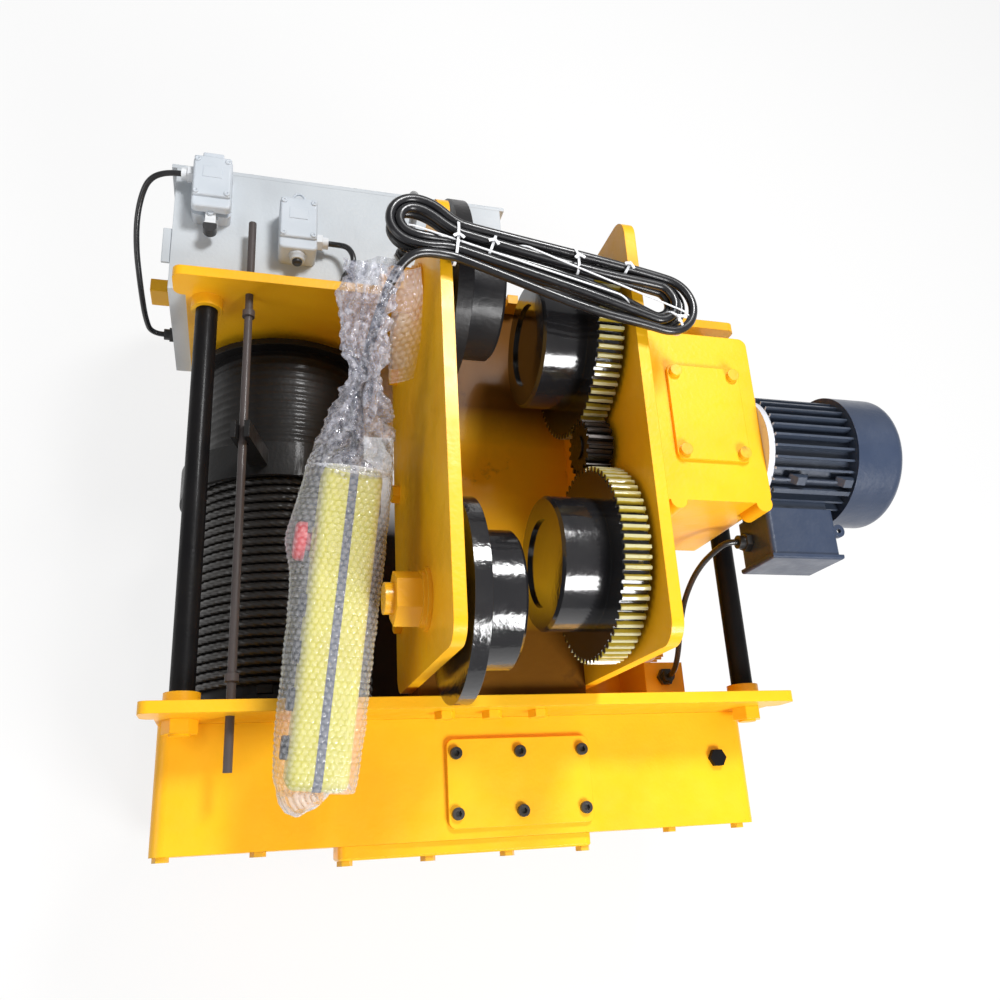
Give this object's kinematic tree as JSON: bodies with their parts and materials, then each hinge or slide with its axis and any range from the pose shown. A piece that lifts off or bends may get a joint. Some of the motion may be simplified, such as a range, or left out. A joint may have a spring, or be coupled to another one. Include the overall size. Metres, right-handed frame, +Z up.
{
  "type": "electric rope hoist",
  "caption": "Low-headroom electric wire rope hoist with a motor-driven beam trolley on top, a gear case, a control panel and a pendant lying on it.",
  "frame": {"origin": "middle of the beam's lower flange on the running surface of the wheels, midway between the wheel faces and midway along the trolley", "axes": "+X across the beam towards the trolley motor, +Y along the beam towards the control panel, +Z up"},
  "size_m": [0.821, 0.817, 0.6294],
  "materials": {
    "frame_yellow": "gloss enamel",
    "black_paint": "gloss enamel",
    "steel": "turned",
    "black_bolts": "blackened",
    "greased_drum": "greased",
    "greased_rope": "greased wire rope",
    "guide_iron": "greased",
    "gear_steel": "hobbed",
    "yellow_wheel": "black enamel, yellow teeth",
    "motor_blue": "slate enamel",
    "hood_blue": "slate enamel",
    "core_steel": "laminated",
    "panel_grey": "textured",
    "switch_white": "moulded",
    "dark_plastic": "moulded",
    "pendant_yellow": "moulded",
    "button_black": "moulded",
    "stop_red": "moulded",
    "cable_black": "sheath"
  },
  "bodies": {
    "frame": {"near_end_plate": "frame_yellow", "far_end_plate": "frame_yellow", "suspension_girder": "frame_yellow", "gearbox_housing": "frame_yellow", "inspection_cover": "frame_yellow", "end_cover": "frame_yellow", "left_trolley_plate": "frame_yellow", "right_trolley_plate": "frame_yellow", "axle_nuts": "frame_yellow", "trolley_gearbox": "frame_yellow", "gearbox_lid": "frame_yellow", "oil_plug": "frame_yellow", "tie_rods": "black_paint", "tie_rod_nuts": "steel", "axles": "steel", "frame_bolts": "steel", "cover_screws": "black_bolts", "ball_bearings": "steel", "hoist_motor_housing": "frame_yellow", "trolley_motor_housing": "motor_blue", "trolley_fan_cover": "hood_blue", "terminal_box": "hood_blue", "limit_switches": "switch_white", "cable_glands": "dark_plastic", "panel_box": "panel_grey", "panel_cover": "panel_grey", "contactors": "dark_plastic", "pendant_case": "pendant_yellow", "pendant_cover": "pendant_yellow", "cable_hank": "cable_black", "pendant_lead": "cable_black", "panel_lead": "cable_black", "left_switch_cable": "cable_black", "right_switch_cable": "cable_black", "motor_cable": "cable_black"},
    "drum": {"drum": "greased_drum", "drum_gear": "gear_steel", "hoist_rope": "greased_rope"},
    "second_gear_shaft": {"second_shaft": "gear_steel", "second_gear": "gear_steel"},
    "first_gear_shaft": {"first_shaft": "gear_steel", "first_gear": "gear_steel"},
    "hoist_motor_rotor": {"hoist_rotor": "core_steel"},
    "rope_guide": {"rope_guide": "guide_iron"},
    "limit_rod": {"limit_rod": "black_paint"},
    "switch_lever": {"switch_lever": "dark_plastic"},
    "switch_plunger": {"switch_plunger": "dark_plastic"},
    "near_plain_wheel": {"near_plain_wheel": "black_paint"},
    "far_plain_wheel": {"far_plain_wheel": "black_paint"},
    "near_geared_wheel": {"near_geared_wheel": "yellow_wheel"},
    "far_geared_wheel": {"far_geared_wheel": "yellow_wheel"},
    "pinion_shaft": {"pinion_shaft": "gear_steel", "output_gear": "gear_steel"},
    "layshaft": {"layshaft": "gear_steel"},
    "trolley_motor_rotor": {"trolley_rotor": "core_steel"},
    "up_button": {"up_button": "button_black"},
    "down_button": {"down_button": "button_black"},
    "forward_button": {"forward_button": "button_black"},
    "back_button": {"back_button": "button_black"},
    "emergency_stop": {"emergency_stop": "stop_red"}
  },
  "joints": [
    {"name": "first_gear_shaft_turn", "type": "hinge", "parent": "frame", "child": "first_gear_shaft", "pos_m": [0.044, 0, -0.249], "axis": [0, 1, 0], "range_deg": [-69017.14, 138034.29]},
    {"name": "second_gear_shaft_turn", "type": "hinge", "parent": "frame", "child": "second_gear_shaft", "pos_m": [-0.089, 0, -0.249], "axis": [0, 1, 0], "range_deg": [-33942.91, 16971.48]},
    {"name": "drum_turn", "type": "hinge", "parent": "frame", "child": "drum", "pos_m": [-0.2185, 0, -0.249], "axis": [0, 1, 0], "range_deg": [-3960.01, 7920.01]},
    {"name": "hoist_motor_rotor_turn", "type": "hinge", "parent": "frame", "child": "hoist_motor_rotor", "pos_m": [0.188, 0, -0.249], "axis": [0, 1, 0], "range_deg": [-524531.07, 262265.93]},
    {"name": "rope_guide_slide", "type": "slide", "parent": "frame", "child": "rope_guide", "axis": [0, 1, 0], "range_m": [-0.2332, 0.1166]},
    {"name": "limit_rod_slide", "type": "slide", "parent": "frame", "child": "limit_rod", "axis": [0, 1, 0], "range_m": [-0.008, 0.008], "stiffness_N_per_m": 400},
    {"name": "switch_lever_turn", "type": "hinge", "parent": "frame", "child": "switch_lever", "pos_m": [-0.319, 0.341, -0.063], "axis": [0, 0, 1], "range_deg": [-30, 30], "stiffness_Nm_per_rad": 0.05},
    {"name": "switch_plunger_slide", "type": "slide", "parent": "frame", "child": "switch_plunger", "axis": [0, 1, 0], "range_m": [0, 0.004], "stiffness_N_per_m": 600},
    {"name": "near_plain_wheel_turn", "type": "hinge", "parent": "frame", "child": "near_plain_wheel", "pos_m": [0, -0.16, 0.067], "axis": [1, 0, 0], "continuous": true},
    {"name": "far_plain_wheel_turn", "type": "hinge", "parent": "frame", "child": "far_plain_wheel", "pos_m": [0, 0.176, 0.067], "axis": [1, 0, 0], "continuous": true},
    {"name": "pinion_shaft_turn", "type": "hinge", "parent": "frame", "child": "pinion_shaft", "pos_m": [0, 0, 0.07808], "axis": [1, 0, 0], "continuous": true},
    {"name": "near_geared_wheel_turn", "type": "hinge", "parent": "frame", "child": "near_geared_wheel", "pos_m": [0, -0.1225, 0.067], "axis": [1, 0, 0], "continuous": true},
    {"name": "far_geared_wheel_turn", "type": "hinge", "parent": "frame", "child": "far_geared_wheel", "pos_m": [0, 0.1225, 0.067], "axis": [1, 0, 0], "continuous": true},
    {"name": "layshaft_turn", "type": "hinge", "parent": "frame", "child": "layshaft", "pos_m": [0, 0.054, 0.07808], "axis": [1, 0, 0], "continuous": true},
    {"name": "trolley_motor_rotor_turn", "type": "hinge", "parent": "frame", "child": "trolley_motor_rotor", "pos_m": [0, 0, 0.07808], "axis": [1, 0, 0], "continuous": true},
    {"name": "up_button_slide", "type": "slide", "parent": "frame", "child": "up_button", "axis": [0.9958, -0.0902, -0.0172], "range_m": [0, 0.004], "stiffness_N_per_m": 500},
    {"name": "down_button_slide", "type": "slide", "parent": "frame", "child": "down_button", "axis": [0.9958, -0.0902, -0.0172], "range_m": [0, 0.004], "stiffness_N_per_m": 500},
    {"name": "forward_button_slide", "type": "slide", "parent": "frame", "child": "forward_button", "axis": [0.9958, -0.0902, -0.0172], "range_m": [0, 0.004], "stiffness_N_per_m": 500},
    {"name": "back_button_slide", "type": "slide", "parent": "frame", "child": "back_button", "axis": [0.9958, -0.0902, -0.0172], "range_m": [0, 0.004], "stiffness_N_per_m": 500},
    {"name": "emergency_stop_slide", "type": "slide", "parent": "frame", "child": "emergency_stop", "axis": [0.9958, -0.0902, -0.0172], "range_m": [0, 0.004], "stiffness_N_per_m": 800}
  ],
  "couplings": [
    {"joint": "second_gear_shaft_turn", "follows": "first_gear_shaft_turn", "ratio": -0.2459},
    {"joint": "drum_turn", "follows": "first_gear_shaft_turn", "ratio": 0.057377},
    {"joint": "hoist_motor_rotor_turn", "follows": "first_gear_shaft_turn", "ratio": -3.8},
    {"joint": "rope_guide_slide", "follows": "first_gear_shaft_turn", "m_per_rad": -0.000096798},
    {"joint": "near_geared_wheel_turn", "follows": "pinion_shaft_turn", "ratio": -0.28125},
    {"joint": "far_geared_wheel_turn", "follows": "pinion_shaft_turn", "ratio": -0.28125},
    {"joint": "layshaft_turn", "follows": "pinion_shaft_turn", "ratio": -2.375},
    {"joint": "trolley_motor_rotor_turn", "follows": "pinion_shaft_turn", "ratio": 7.125}
  ]
}
